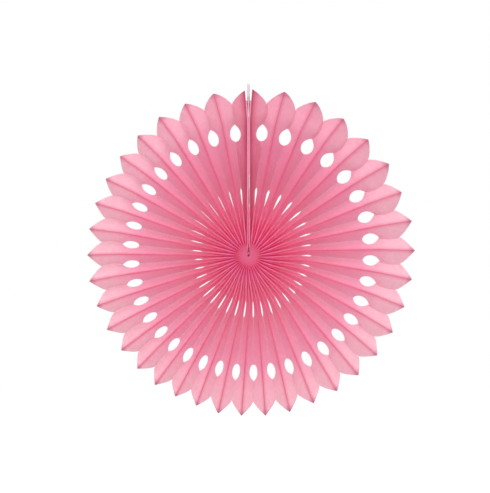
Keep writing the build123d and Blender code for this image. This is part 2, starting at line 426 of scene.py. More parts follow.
@dataclass(frozen=True)
class TissuePaper:
    """Dyed tissue paper, machine glazed: matt, faintly cloudy, and thin enough to let light through.

    Tissue has next to no gloss, so the eye gets a flat pink that glows where light comes through it. Its
    colour is hot and deep near the hub and in the grooves there, painted shade for the light that goes from
    sheet to sheet, pale in the petals, and a little darker towards the top, painted shade again. Near the
    hub the ridges take a tint that is partly wear, where they are pressed most, and partly painted light.
    Beside the back folds lie a band and a line of painted shade. Real fibres are 0.02 mm thick and their
    clouds 1 mm wide, so both are drawn as coarse as they need to show.

    Shares of the way out run from the hub's middle (0) to the petals' tips (1). Shares across a panel run
    from its back fold (0) to its ridge (1).
    """

    # Colour by the way out. The deep pink near the hub is painted shade, for light that goes from sheet to
    # sheet.
    single_stops: tuple[tuple[float, str], ...] = (
        (0.07, "#FFA4DA"),
        (0.22, "#FDD8EA"),
        (0.42, "#FBDEEA"),
        (0.7, "#FBDEEA"),
        (0.85, "#FCE9EE"),
        (0.96, "#FCE9EE"),
        (1.0, "#E2C4CC"),
    )
    packed_stops: tuple[tuple[float, str], ...] = (
        (0.0, "#E86A90"),
        (0.06, "#E86A90"),
        (0.09, "#F884AE"),
        (1.0, "#F884AE"),
    )
    cloud: str = "#FFF2F6"
    cloud_mm: float = 5.0
    cloud_range: tuple[float, float] = (0.3, 0.7)
    # Painted shade: the colour is multiplied darker towards the top, from a little way out to the tips.
    top_shade: str = "#FBE8F0"
    top_shade_bearing: float = 12.0
    top_shade_sharpness: float = 4.5
    top_shade_way_out: tuple[float, float] = (0.15, 0.5)
    # Painted shade: a hot, deep pink in the grooves near the hub, everywhere but close to the ridges.
    groove_shade: str = "#FF6CB0"
    groove_shade_most: float = 0.1
    groove_shade_way_out: tuple[float, float] = (0.38, 0.12)
    groove_shade_across: tuple[float, float] = (0.9, 0.6)
    # The ridges near the hub: a tint that is partly wear, where they are pressed most, and partly painted
    # light.
    worn_and_lit_ridge: FoldTint = FoldTint("#FF8CC0", Fold.RIDGE, 2.0, (0.02, 0.6), (0.45, 0.25))
    # Painted shade: a soft band beside each back fold, in the valley.
    valley_shade_band: FoldTint = FoldTint("#EA86AA", Fold.BACK, 6.0, (0.12, 0.34), (0.2, 0.5), Fading.SOFT)
    # Painted shade: a thin dark line along each back fold, stronger towards the petals.
    valley_shade_line: FoldTint = FoldTint("#D06890", Fold.BACK, 0.9, (0.0, 0.38), (0.45, 0.8))
    fibre_mm: float = 1.1
    fibre_height_mm: float = 0.1
    fibre_strength: float = 0.15
    roughness: float = 0.75
    gloss: float = 0.03
    through_tint: str = "#FFF4F8"
    through_shares: tuple[float, float] = (0.5, 0.6)
    through_way_out: tuple[float, float] = (0.12, 0.35)

    def dyed_and_shaded(
        self,
        tree: bpy.types.NodeTree,
        strip: bpy.types.NodeSocket,
        out_share: bpy.types.NodeSocket,
        stack: Stack,
    ) -> bpy.types.NodeSocket:
        """Colour the sheet by its share of the way out, under faint clouds: the deep pink near the hub is
        painted shade.

        Args:
            tree: The material's nodes.
            strip: The place on the flat strip.
            out_share: The share of the way out.
            stack: How the tissue lies.

        Returns:
            The colour's socket.
        """
        ramp = add_node(tree, "ShaderNodeValToRGB", links={"Fac": out_share})
        fill_ramp(ramp, self.packed_stops if stack is Stack.PACKED else self.single_stops)
        cloud = add_node(
            tree,
            "ShaderNodeTexNoise",
            {"Scale": 1 / (self.cloud_mm * MM), "Detail": 3.0, "Roughness": 0.6},
            {"Vector": strip},
        )
        low, high = self.cloud_range
        cloud_share = add_node(
            tree,
            "ShaderNodeMapRange",
            {"From Min": low, "From Max": high},
            {"Value": cloud.outputs["Fac"]},
        )
        clouded = add_node(
            tree,
            "ShaderNodeMix",
            {"data_type": "RGBA", "blend_type": "MULTIPLY", 7: linear(self.cloud)},
            {"Factor": cloud_share.outputs[0], 6: ramp.outputs["Color"]},
        )
        return clouded.outputs[2]

    def top_shaded(
        self, tree: bpy.types.NodeTree, colour: bpy.types.NodeSocket, out_share: bpy.types.NodeSocket
    ) -> bpy.types.NodeSocket:
        """Paint shade towards one bearing, the top, by a power of (1 + cosine) / 2 of the way round from it.

        Args:
            tree: The material's nodes.
            colour: The colour to darken with painted shade.
            out_share: The share of the way out.

        Returns:
            The socket of the colour with its painted shade.
        """
        place = add_node(tree, "ShaderNodeTexCoord")
        flat = add_node(
            tree,
            "ShaderNodeVectorMath",
            {"operation": "MULTIPLY", 1: (1, 0, 1)},
            {0: place.outputs["Object"]},
        )
        way = add_node(tree, "ShaderNodeVectorMath", {"operation": "NORMALIZE"}, {0: flat.outputs[0]})
        turn = np.radians(self.top_shade_bearing)
        toward = add_node(
            tree,
            "ShaderNodeVectorMath",
            {"operation": "DOT_PRODUCT", 1: (float(np.sin(turn)), 0, float(np.cos(turn)))},
            {0: way.outputs[0]},
        )
        near = add_node(tree, "ShaderNodeMapRange", {"From Min": -1.0}, {"Value": toward.outputs["Value"]})
        nearest = add_node(
            tree, "ShaderNodeMath", {"operation": "POWER", 1: self.top_shade_sharpness}, {0: near.outputs[0]}
        )
        inside, outside = self.top_shade_way_out
        outer = add_node(
            tree,
            "ShaderNodeMapRange",
            {"interpolation_type": "SMOOTHSTEP", "From Min": inside, "From Max": outside},
            {"Value": out_share},
        )
        share = add_node(
            tree, "ShaderNodeMath", {"operation": "MULTIPLY"}, {0: nearest.outputs[0], 1: outer.outputs[0]}
        )
        top_darkened = add_node(
            tree,
            "ShaderNodeMix",
            {"data_type": "RGBA", "blend_type": "MULTIPLY", 7: linear(self.top_shade)},
            {"Factor": share.outputs[0], 6: colour},
        )
        return top_darkened.outputs[2]

    def groove_shaded(
        self,
        tree: bpy.types.NodeTree,
        colour: bpy.types.NodeSocket,
        out_share: bpy.types.NodeSocket,
        across: bpy.types.NodeSocket,
    ) -> bpy.types.NodeSocket:
        """Paint shade into the grooves near the hub, as a hot, deep pink.

        Args:
            tree: The material's nodes.
            colour: The colour to paint the shade on.
            out_share: The share of the way out.
            across: The share across the panel.

        Returns:
            The socket of the colour with its painted shade.
        """
        nothing, all_of_it = self.groove_shade_way_out
        near_hub = add_node(
            tree,
            "ShaderNodeMapRange",
            {
                "interpolation_type": "SMOOTHSTEP",
                "From Min": nothing,
                "From Max": all_of_it,
                "To Max": self.groove_shade_most,
            },
            {"Value": out_share},
        )
        nothing, all_of_it = self.groove_shade_across
        in_groove = add_node(
            tree,
            "ShaderNodeMapRange",
            {"interpolation_type": "SMOOTHSTEP", "From Min": nothing, "From Max": all_of_it},
            {"Value": across},
        )
        share = add_node(
            tree,
            "ShaderNodeMath",
            {"operation": "MULTIPLY"},
            {0: near_hub.outputs[0], 1: in_groove.outputs[0]},
        )
        with_groove_shade = add_node(
            tree,
            "ShaderNodeMix",
            {"data_type": "RGBA", 7: linear(self.groove_shade)},
            {"Factor": share.outputs[0], 6: colour},
        )
        return with_groove_shade.outputs[2]

    def creased(
        self,
        tree: bpy.types.NodeTree,
        colour: bpy.types.NodeSocket,
        out_share: bpy.types.NodeSocket,
        across: bpy.types.NodeSocket,
        panel: float,
    ) -> bpy.types.NodeSocket:
        """Tint the folds: ridges near the hub, with wear and painted light, and back folds with painted
        shade.

        Args:
            tree: The material's nodes.
            colour: The colour to tint.
            out_share: The share of the way out.
            across: The share across the panel.
            panel: The panel's width in millimetres.

        Returns:
            The tinted colour's socket.
        """
        for tint in (self.worn_and_lit_ridge, self.valley_shade_band, self.valley_shade_line):
            strength = add_node(
                tree,
                "ShaderNodeMapRange",
                {
                    "interpolation_type": "SMOOTHSTEP",
                    "From Min": tint.way_out[0],
                    "From Max": tint.way_out[1],
                    "To Min": tint.shares[0],
                    "To Max": tint.shares[1],
                },
                {"Value": out_share},
            )
            fold = tint.fold.value
            gone = abs(fold - tint.reach_mm / panel)
            share = add_node(
                tree,
                "ShaderNodeMapRange",
                {"interpolation_type": tint.fading.value, "From Min": gone, "From Max": fold},
                {"Value": across, "To Max": strength.outputs[0]},
            )
            tinted = add_node(
                tree,
                "ShaderNodeMix",
                {"data_type": "RGBA", 7: linear(tint.colour)},
                {"Factor": share.outputs[0], 6: colour},
            )
            colour = tinted.outputs[2]
        return colour

    def material(self, plan: FanPlan, stack: Stack) -> bpy.types.Material:
        """Build the material: matt tissue mixed with translucent tissue, under a bump of fibres.

        Args:
            plan: The fan's plan, for the strip's width and the rim's radius.
            stack: How the tissue lies. A packed stack lets nothing through.

        Returns:
            The finished material.
        """
        material, tree = new_material(stack.value)
        strip = add_node(tree, "ShaderNodeUVMap", {"uv_map": "strip"})
        parts = add_node(tree, "ShaderNodeSeparateXYZ", links={0: strip.outputs["UV"]})
        way_out = add_node(
            tree,
            "ShaderNodeMapRange",
            {"From Min": 0.0, "From Max": plan.tip_radius * MM},
            {"Value": parts.outputs["Y"]},
        )
        out_share = way_out.outputs[0]
        across = add_node(tree, "ShaderNodeAttribute", {"attribute_name": "across"}).outputs["Fac"]
        colour = self.dyed_and_shaded(tree, strip.outputs["UV"], out_share, stack)
        colour = self.top_shaded(tree, colour, out_share)
        colour = self.groove_shaded(tree, colour, out_share, across)
        colour = self.creased(tree, colour, out_share, across, plan.strip_panel)
        fibre = add_node(
            tree,
            "ShaderNodeTexNoise",
            {"Scale": 1 / (self.fibre_mm * MM), "Detail": 4.0},
            {"Vector": strip.outputs["UV"]},
        )
        bump = add_node(
            tree,
            "ShaderNodeBump",
            {"Strength": self.fibre_strength, "Distance": self.fibre_height_mm * MM},
            {"Height": fibre.outputs["Fac"]},
        )
        surface = add_node(
            tree,
            "ShaderNodeBsdfPrincipled",
            {"Roughness": self.roughness, "Specular IOR Level": self.gloss},
            {"Base Color": colour, "Normal": bump.outputs["Normal"]},
        )
        if stack is Stack.PACKED:
            add_node(tree, "ShaderNodeOutputMaterial", links={"Surface": surface.outputs[0]})
            return material
        through_colour = add_node(
            tree,
            "ShaderNodeMix",
            {"data_type": "RGBA", "blend_type": "MULTIPLY", "Factor": 1.0, 7: linear(self.through_tint)},
            {6: colour},
        )
        through = add_node(
            tree,
            "ShaderNodeBsdfTranslucent",
            links={"Color": through_colour.outputs[2], "Normal": bump.outputs["Normal"]},
        )
        near_hub, outside = self.through_shares
        first, last = self.through_way_out
        let_through = add_node(
            tree,
            "ShaderNodeMapRange",
            {
                "interpolation_type": "SMOOTHSTEP",
                "From Min": first,
                "From Max": last,
                "To Min": near_hub,
                "To Max": outside,
            },
            {"Value": out_share},
        )
        mixed = add_node(
            tree,
            "ShaderNodeMixShader",
            links={"Fac": let_through.outputs[0], 1: surface.outputs[0], 2: through.outputs[0]},
        )
        add_node(tree, "ShaderNodeOutputMaterial", links={"Surface": mixed.outputs[0]})
        return material


@dataclass(frozen=True)
class PlainPaper:
    """Uncoated card, tape, thread or doubled tissue: one matt colour with a fine mottle of fibres.

    The eye gets a flat, soft surface with hardly any gloss. A sheet seen edge-on can take a colour on its
    front edge by the height over the hub, in paler and darker bands; the darker bands are painted shade,
    where the edge lies deep among the tissue.
    """

    name: str
    colour: str
    roughness: float = 0.8
    gloss: float = 0.3
    mottle_mm: float = 0.8
    mottle_share: float = 0.12
    mottle_height_mm: float = 0.1
    mottle_strength: float = 0.3
    bands: tuple[tuple[float, str], ...] = ()
    bands_reach: float = 210.0
    front_edge: float = 11.9
    front_blend: float = 1.5

    def banded(self, tree: bpy.types.NodeTree, place: bpy.types.Node) -> bpy.types.NodeSocket:
        """Colour the front edge by the height over the hub, in bands, and leave the rest plain.

        Args:
            tree: The material's nodes.
            place: Its texture coordinates.

        Returns:
            The colour's socket.
        """
        parts = add_node(tree, "ShaderNodeSeparateXYZ", links={0: place.outputs["Object"]})
        share = add_node(
            tree,
            "ShaderNodeMapRange",
            {"From Min": 0.0, "From Max": self.bands_reach * MM},
            {"Value": parts.outputs["Z"]},
        )
        ramp = add_node(tree, "ShaderNodeValToRGB", links={"Fac": share.outputs[0]})
        fill_ramp(ramp, tuple((height / self.bands_reach, colour) for height, colour in self.bands))
        at_front = add_node(
            tree,
            "ShaderNodeMapRange",
            {"From Min": -self.front_edge * MM + self.front_blend * MM, "From Max": -self.front_edge * MM},
            {"Value": parts.outputs["Y"]},
        )
        mixed = add_node(
            tree,
            "ShaderNodeMix",
            {"data_type": "RGBA", 6: linear(self.colour)},
            {"Factor": at_front.outputs[0], 7: ramp.outputs["Color"]},
        )
        return mixed.outputs[2]

    def material(self) -> bpy.types.Material:
        """Build the material: the colour, mottled by noise, and a bump of the same noise.

        Returns:
            The finished material.
        """
        material, tree = new_material(self.name)
        place = add_node(tree, "ShaderNodeTexCoord")
        mottle = add_node(
            tree,
            "ShaderNodeTexNoise",
            {"Scale": 1 / (self.mottle_mm * MM), "Detail": 3.0},
            {"Vector": place.outputs["Object"]},
        )
        tint = add_node(
            tree,
            "ShaderNodeMapRange",
            {"To Min": 1 - self.mottle_share, "To Max": 1 + self.mottle_share},
            {"Value": mottle.outputs["Fac"]},
        )
        colour = add_node(
            tree,
            "ShaderNodeMix",
            {"data_type": "RGBA", "blend_type": "MULTIPLY", "Factor": 1.0, 6: linear(self.colour)},
            {7: tint.outputs[0]},
        )
        if self.bands:
            tree.links.new(self.banded(tree, place), colour.inputs[6])
        bump = add_node(
            tree,
            "ShaderNodeBump",
            {"Strength": self.mottle_strength, "Distance": self.mottle_height_mm * MM},
            {"Height": mottle.outputs["Fac"]},
        )
        surface = add_node(
            tree,
            "ShaderNodeBsdfPrincipled",
            {"Roughness": self.roughness, "Specular IOR Level": self.gloss},
            {"Base Color": colour.outputs[2], "Normal": bump.outputs["Normal"]},
        )
        add_node(tree, "ShaderNodeOutputMaterial", links={"Surface": surface.outputs[0]})
        return material


class SkinSide(Enum):
    """Which skin of the sheet a face belongs to."""

    FRONT = -1
    BACK = 1


@dataclass
class SheetMesh:
    """A thin closed sheet, from the points of its middle surface and the way its skins stand off."""

    points: np.ndarray
    stand_off: np.ndarray
    quads: np.ndarray
    quad_strip: np.ndarray
    quad_across: np.ndarray

    def skin(self, side: SkinSide) -> np.ndarray:
        """Points of one skin."""
        return self.points + side.value * self.stand_off

    def rims(self) -> tuple[np.ndarray, np.ndarray]:
        """Find the sheet's open edges: those that no neighbouring face walks the other way.

        Returns:
            Each edge's two points, and its place among the corners of all faces.
        """
        starts = self.quads.ravel()
        ends = np.roll(self.quads, -1, axis=1).ravel()
        count = len(self.points)
        forward = starts * count + ends
        reverse = ends * count + starts
        is_open = ~np.isin(forward, reverse)
        return np.stack([starts[is_open], ends[is_open]], axis=1), np.flatnonzero(is_open)

    def build(self, name: str) -> bpy.types.Object:
        """Close the two skins with a wall along each open edge, and make the mesh.

        Args:
            name: The new piece's name.

        Returns:
            The piece, in metres.
        """
        count = len(self.points)
        edges, corners = self.rims()
        corner_row, corner_column = np.divmod(corners, 4)
        next_column = (corner_column + 1) % 4
        walls = np.stack([edges[:, 1], edges[:, 0], edges[:, 0] + count, edges[:, 1] + count], axis=1)
        faces = np.concatenate([self.quads, self.quads[:, ::-1] + count, walls])
        wall_corners = np.stack([next_column, corner_column, corner_column, next_column], axis=1)
        strip = np.concatenate(
            [self.quad_strip, self.quad_strip[:, ::-1], self.quad_strip[corner_row[:, None], wall_corners]]
        )
        across = np.concatenate(
            [self.quad_across, self.quad_across[:, ::-1], self.quad_across[corner_row[:, None], wall_corners]]
        )
        places = np.concatenate([self.skin(SkinSide.FRONT), self.skin(SkinSide.BACK)]) * MM
        mesh = bpy.data.meshes.new(name)
        mesh.vertices.add(len(places))
        mesh.vertices.foreach_set("co", places.astype(np.float32).ravel())
        mesh.loops.add(faces.size)
        mesh.loops.foreach_set("vertex_index", faces.astype(np.int32).ravel())
        mesh.polygons.add(len(faces))
        mesh.polygons.foreach_set("loop_start", np.arange(0, faces.size, 4, dtype=np.int32))
        mesh.update(calc_edges=True)
        layer = mesh.uv_layers.new(name="strip")
        layer.uv.foreach_set("vector", (strip * MM).astype(np.float32).ravel())
        attribute = mesh.attributes.new("across", "FLOAT", "CORNER")
        attribute.data.foreach_set("value", across.astype(np.float32).ravel())
        mesh.polygons.foreach_set("use_smooth", np.ones(len(faces), dtype=bool))
        mesh.validate()
        piece = bpy.data.objects.new(name, mesh)
        bpy.context.scene.collection.objects.link(piece)
        return piece


@dataclass(frozen=True)
class SeamCrease:
    """A slanting crease in one panel: its panel, a point on its line, the line's slope, and its depth."""

    panel: int
    right: float
    rise: float
    slope: float
    depth: float


@dataclass
class PleatedTissue:
    """The strip itself: 74 panels and two end flaps, folded, die-cut and opened, with free petals."""

    plan: FanPlan
    die: DieCut
    finish: TissuePaper
    half_thickness: float = 0.12
    column_shares: tuple[float, ...] = (0, 0.03, 0.12, 0.35, 0.65, 0.88, 0.97, 1)
    hub_rows: int = 13
    slit_rows: int = 9
    plain_rows: int = 28
    eye_rows: int = 14
    petal_rows: int = 15
    hub_overlap: float = 0.6
    fold_round: float = 0.45
    hub_fold_round: float = 1.0
    fold_round_share: float = 0.44
    fold_round_reach: float = 6.0
    close_pitch: float = 1.5
    open_pitch: float = 4.0
    pitch_blend: float = 3.0
    open_flattening: float = 0.85
    lap_width: float = 3.9
    lap_least_share: float = 0.08
    lap_widest_bearing: float = 12.0
    lap_sharpness: float = 0.7
    lap_spread: tuple[float, float] = (0.75, 1.25)
    lap_start: float = 150.0
    lap_turn_share: float = 0.85
    lap_power: float = 1.5
    lap_clearance: float = 0.6
    widest_reach: float = 0.97
    tuck_width: float = 2.2
    tuck_start: float = 147.0
    tuck_end: float = 168.0
    tuck_bearing: float = 90.0
    tuck_sharpness: float = 2.0
    tuck_least_share: float = 0.4
    petal_bow: float = 0.15
    panel_bow: float = 0.4
    crumple: float = 0.35
    crumple_waves: int = 14
    crumple_lengths: tuple[float, float] = (25.0, 80.0)
    tip_wander: float = 1.2
    swell_spread: tuple[float, float] = (0.6, 1.4)
    creases: tuple[SeamCrease, ...] = (
        SeamCrease(0, 4.3, 140.0, -0.88, 4.0),
        SeamCrease(73, -11.6, 130.6, -1.4, 2.0),
    )
    crease_width: float = 2.0
    crease_fade: float = 45.0
    crease_rise: float = 2.5
    seam_shade_power: float = 1.8
    sharp_degrees: float = 24.0
    seed: int = 7

    def stations(self) -> np.ndarray:
        """Lay out the rows up to the holes' outer ends, closer together in the slits and the holes.

        Returns:
            Radii. In the holes they follow a cosine, so that they crowd at both ends.
        """
        die = self.die
        eye_turn = np.linspace(0, np.pi, self.eye_rows)
        in_eye = die.eye_start + (die.eye_end - die.eye_start) * (1 - np.cos(eye_turn)) / 2
        return np.concatenate(
            [
                np.linspace(self.plan.hub_radius - self.hub_overlap, die.slit_start, self.hub_rows),
                np.linspace(die.slit_start, die.slit_end, self.slit_rows)[1:],
                np.linspace(die.slit_end, die.eye_start, self.plain_rows)[1:],
                in_eye[1:],
            ]
        )

    def crumpled(self, points: np.ndarray, dice: np.random.Generator) -> np.ndarray:
        """Lift the sheet a little: a sum of sine waves over the plan, each in its own direction.

        Args:
            points: Grid of points.
            dice: The random draws.

        Returns:
            How far each point is lifted.
        """
        lift = np.zeros(points.shape[:-1])
        for _ in range(self.crumple_waves):
            turn = dice.uniform(0, 2 * np.pi)
            length = dice.uniform(*self.crumple_lengths)
            phase = dice.uniform(0, 2 * np.pi)
            way = points[..., 0] * np.cos(turn) + points[..., 2] * np.sin(turn)
            lift += np.sin(way * 2 * np.pi / length + phase)
        return lift * self.crumple / np.sqrt(self.crumple_waves)

    def rounded(
        self, share: np.ndarray, width: np.ndarray, pitch: np.ndarray, chord: np.ndarray
    ) -> np.ndarray:
        """Round the folds: beside each one the panel stands out from it, so that the fold is a narrow arch.

        The stand-out follows the root of the distance from the fold times the square of what is left of its
        reach, which is greatest at a fifth of the reach. It is widest where the pleats stand close, near
        the hub, stays within half a pleat, and flattens where they stand wide.

        Args:
            share: Share of the panel's width from its back fold.
            width: Width of the panel.
            pitch: Width of the panel as seen from the front.
            chord: The straight way from its back fold to its front fold.

        Returns:
            The way that each point moves.
        """
        moved = np.zeros_like(share)
        peak = 0.2
        greatest = peak**0.5 * (1 - peak) ** 2
        for along, turn in ((1 - share, -1), (share, 1)):
            near = np.clip(along * width / self.fold_round_reach, 0, 1)
            moved = moved + turn * near**0.5 * (1 - near) ** 2 / greatest
        wide = smooth_step((pitch - self.close_pitch) / self.pitch_blend)
        broad = self.hub_fold_round + (self.fold_round - self.hub_fold_round) * wide
        moved = moved * np.minimum(broad, self.fold_round_share * pitch) / pitch
        moved = moved * (1 - self.open_flattening * smooth_step((pitch - self.open_pitch) / self.pitch_blend))
        way = chord * moved[..., None]
        way[..., 1] = 0
        return way

    def rows(self, panel: np.ndarray, across: np.ndarray, dice: np.random.Generator) -> np.ndarray:
        """Lay out the grid's radii: the same rows up to the holes' ends, then even ones to each petal's edge.

        Args:
            panel: Numbers of the panels.
            across: Share of the panel's width from its back fold, for each column.
            dice: The random draws, for the tips' radii and the edges' swell.

        Returns:
            Radii by panel, row and column.
        """
        plan, die = self.plan, self.die
        back_fold = np.where(panel % 2 == 0, panel, panel + 1)
        wander = dice.uniform(-1, 1, plan.ridge_count + 1)[back_fold // 2] * self.tip_wander
        petal_bearing = 2 * np.pi * back_fold / plan.fold_count
        at_top = nearness(petal_bearing, die.petal_top_bearing, die.petal_top_sharpness)
        swell = die.petal_swell + die.petal_top_swell * at_top
        swell = swell * dice.uniform(*self.swell_spread, plan.fold_count + 2)[panel + 1]
        rim = die.rim(across, plan.tip_radius + wander, swell)
        rim_share = np.linspace(0, 1, self.petal_rows)[1:][None, :, None]
        outer = die.eye_end + (rim - die.eye_end) * rim_share
        stations = self.stations()
        inner = np.broadcast_to(stations[None, :, None], (len(panel), len(stations), outer.shape[2]))
        return np.concatenate([inner, outer], axis=1)

    def lapped(
        self,
        chord: np.ndarray,
        radius: np.ndarray,
        bearing: np.ndarray,
        panel: np.ndarray,
        dice: np.random.Generator,
    ) -> np.ndarray:
        """Free the petals' sides past the holes, keeping each panel's width.

        The clockwise side swings round its tip fold until it laps over the next petal, by a sine to a power
        that starts in the hole and ends at the notch. The other side drops behind it, and reaches a little
        under it by the square of a sine.

        Args:
            chord: The straight way from each back fold to the front fold.
            radius: Distances along the fold.
            bearing: Bearings of the front fold.
            panel: Numbers of the panels.
            dice: The random draws, for the laps' widths.

        Returns:
            The way from each back fold to the panel's front edge.
        """
        die = self.die
        pitch = np.hypot(chord[..., 0], chord[..., 2])
        depth = np.abs(chord[..., 1])
        width = np.hypot(pitch, depth)
        free = self.freedom(radius)
        belly = np.clip((radius - self.lap_start) / (die.notch_radius - self.lap_start), 0, 1)
        lap = nearness(bearing, self.lap_widest_bearing, self.lap_sharpness)
        lap = self.lap_least_share + (1 - self.lap_least_share) * lap
        lap = self.lap_width * lap * dice.uniform(*self.lap_spread, self.plan.fold_count + 2)[panel + 1]
        lap = lap * np.sin(self.lap_turn_share * np.pi * belly) ** self.lap_power
        tucked = np.clip((radius - self.tuck_start) / (self.tuck_end - self.tuck_start), 0, 1)
        tuck = nearness(bearing, self.tuck_bearing, self.tuck_sharpness)
        tuck = self.tuck_least_share + (1 - self.tuck_least_share) * tuck
        tuck = self.tuck_width * tuck * np.sin(np.pi * tucked) ** 2
        reach = np.minimum(pitch + lap, self.widest_reach * width)
        over_depth = np.sqrt(width**2 - reach**2)
        under_depth = over_depth * pitch / reach - self.lap_clearance
        clockwise_side = panel % 2 == 0
        free_depth = np.where(clockwise_side, over_depth, under_depth)
        free_depth = depth + (free_depth - depth) * free
        free_reach = np.where(clockwise_side, reach, pitch + tuck)
        right, rise = chord[..., 0] / pitch, chord[..., 2] / pitch
        return np.stack([right * free_reach, -free_depth, rise * free_reach], axis=-1)

    def freedom(self, radius: np.ndarray) -> np.ndarray:
        """How free a petal's sides are of each other: not at all in the hole, and all of it past the hole."""
        return smooth_step((radius - self.lap_start) / (self.die.eye_end - self.lap_start))

    def stood_off(self, panel: np.ndarray, is_flap: np.ndarray, across: np.ndarray) -> np.ndarray:
        """Say which way the skins stand off the middle surface: front and back, or sideways on end flaps.

        Args:
            panel: Numbers of the panels.
            is_flap: Whether each panel is an end flap.
            across: Share of the panel's width from its back fold, at each point.

        Returns:
            The way from the middle surface to the back skin.
        """
        stand_off = np.zeros((*across.shape, 3))
        away = np.where(panel < 0, -1, 1) * is_flap
        stand_off[..., 0] += away * self.half_thickness
        stand_off[..., 1] = np.where(is_flap & (across > 0), 0, self.half_thickness)
        beside_flap = (panel == 0) | (panel == self.plan.fold_count - 1)
        corner = np.where(panel == 0, -1, 1) * self.half_thickness
        stand_off[..., 0] = np.where(beside_flap & (across == 0), corner, stand_off[..., 0])
        return stand_off

    def sheet(self) -> SheetMesh:
        """Work out the sheet on a grid of panel, row along the fold and column across.

        Each panel is a straight line from its back fold to its front edge, less what the die cuts off that
        edge. Rounded folds, a bow, a crumple and the creases beside the seam are added to it.

        Returns:
            The sheet's middle surface and the way its skins stand off.
        """
        plan, die = self.plan, self.die
        dice = np.random.default_rng(self.seed)
        panel = np.arange(-1, plan.fold_count + 1)[:, None, None]
        clockwise_side = panel % 2 == 0
        is_flap = (panel < 0) | (panel >= plan.fold_count)
        column = np.array(self.column_shares)[None, None, :]
        across = np.where(clockwise_side, column, 1 - column)
        radius = self.rows(panel, across, dice)
        row_across = np.broadcast_to(across, radius.shape)

        back = plan.fold_points(np.where(clockwise_side, panel, panel + 1), radius)
        front_fold = np.where(clockwise_side, panel + 1, panel)
        chord = plan.fold_points(front_fold, radius) - back
        pitch = np.hypot(chord[..., 0], chord[..., 2])
        width = np.hypot(pitch, chord[..., 1])
        bearing = plan.bearing(np.clip(front_fold, 0, plan.fold_count), radius)
        opened = self.lapped(chord, radius, bearing, panel, dice)
        chord = np.where(is_flap[..., None], chord, opened)

        share = row_across * (1 - die.cut(radius, bearing) / width)
        points = back + chord * share[..., None]
        points = points + self.rounded(share, width, pitch, chord)
        bow = self.panel_bow * dice.uniform(-1, 1, plan.fold_count + 2)[panel + 1]
        bow = (self.petal_bow * self.freedom(radius) + bow) * np.sin(np.pi * share)
        points[..., 1] -= np.where(is_flap, 0, bow * smooth_step(radius / die.eye_start))
        ease = smooth_step((radius - plan.hub_radius) / die.slit_end)
        points[..., 1] += np.where(is_flap, 0, self.crumpled(points, dice) * ease)
        points[..., 1] += self.seam_creases(panel, points, share)
        return self.welded(points, self.stood_off(panel, is_flap, row_across), radius, share)

    def seam_creases(self, panel: np.ndarray, points: np.ndarray, share: np.ndarray) -> np.ndarray:
        """Crease the panels beside the seam: below a slanting line each stands back, then eases out.

        Args:
            panel: Numbers of the panels.
            points: Grid of points.
            share: Share of the panel's width at each point, from its back fold.

        Returns:
            How far each point goes back.
        """
        back = np.zeros(points.shape[:-1])
        for crease in self.creases:
            below = crease.rise + crease.slope * (points[..., 0] - crease.right) - points[..., 2]
            stands = smooth_step(below / self.crease_width) * (1 - smooth_step(below / self.crease_fade))
            deep = crease.depth * stands * smooth_step(share * self.crease_rise)
            back += np.where(panel == crease.panel, deep, 0)
        return back

    def welded(
        self, points: np.ndarray, stand_off: np.ndarray, radius: np.ndarray, share: np.ndarray
    ) -> SheetMesh:
        """Join the panels along their folds, except where the die parts them.

        Args:
            points: Grid of points by panel, row and column.
            stand_off: The way the skins stand off at each point.
            radius: Distance along the fold at each point.
            share: Share of the panel's width at each point, from its back fold.

        Returns:
            The sheet with its faces and their places on the flat strip.
        """
        panels, rows, columns = points.shape[:3]
        number = np.arange(points[..., 0].size).reshape(panels, rows, columns)
        fold_after = np.arange(panels - 1)
        is_back_fold = fold_after % 2 == 0
        row_radius = radius[0, :, 0]
        die = self.die
        in_slit = (row_radius > die.slit_start) & (row_radius < die.slit_end)
        in_eye = (row_radius > die.eye_start) & (row_radius < die.eye_end)
        parted = in_slit | in_eye | (np.arange(rows) >= len(self.stations()) - 1)
        joined = is_back_fold[:, None] | ~parted[None, :]
        number[1:, :, 0] = np.where(joined, number[:-1, :, -1], number[1:, :, 0])
        quads = np.stack(
            [number[:, :-1, :-1], number[:, :-1, 1:], number[:, 1:, 1:], number[:, 1:, :-1]], axis=-1
        ).reshape(-1, 4)
        panel_number = np.arange(panels)[:, None, None] - 1
        along_panel = np.where(panel_number % 2 == 0, share, 1 - share)
        strip = np.stack([(panel_number + 1 + along_panel) * self.plan.strip_panel, radius], axis=-1)
        quad_strip = self.corners(strip)
        # Beside the seam the share across is bent, so that the painted shade at the back folds reaches
        # further out.
        beside_seam = (panel_number <= 0) | (panel_number >= panels - 3)
        shade = np.where(beside_seam, share**self.seam_shade_power, share)
        quad_across = self.corners(shade[..., None])[..., 0]
        used, quads = np.unique(quads, return_inverse=True)
        flat_points = points.reshape(-1, 3)[used]
        flat_stand_off = stand_off.reshape(-1, 3)[used]
        return SheetMesh(flat_points, flat_stand_off, quads.reshape(-1, 4), quad_strip, quad_across)

    @staticmethod
    def corners(grid: np.ndarray) -> np.ndarray:
        """Values at the four corners of each face of a grid."""
        stacked = np.stack([grid[:, :-1, :-1], grid[:, :-1, 1:], grid[:, 1:, 1:], grid[:, 1:, :-1]], axis=3)
        return stacked.reshape(-1, 4, grid.shape[-1])

    def build(self) -> bpy.types.Object:
        """Make the piece, keep its folds sharp, dress it and put it in the CAD node's place.

        Returns:
            The tissue piece.
        """
        piece = self.sheet().build("tissue_pleats")
        piece.data.set_sharp_from_angle(angle=np.radians(self.sharp_degrees))
        dress(piece, self.finish.material(self.plan, Stack.SINGLE))
        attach(piece, "root")
        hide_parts("pleated_tissue")
        LOG.info("%s has %d faces", piece.name, len(piece.data.polygons))
        return piece


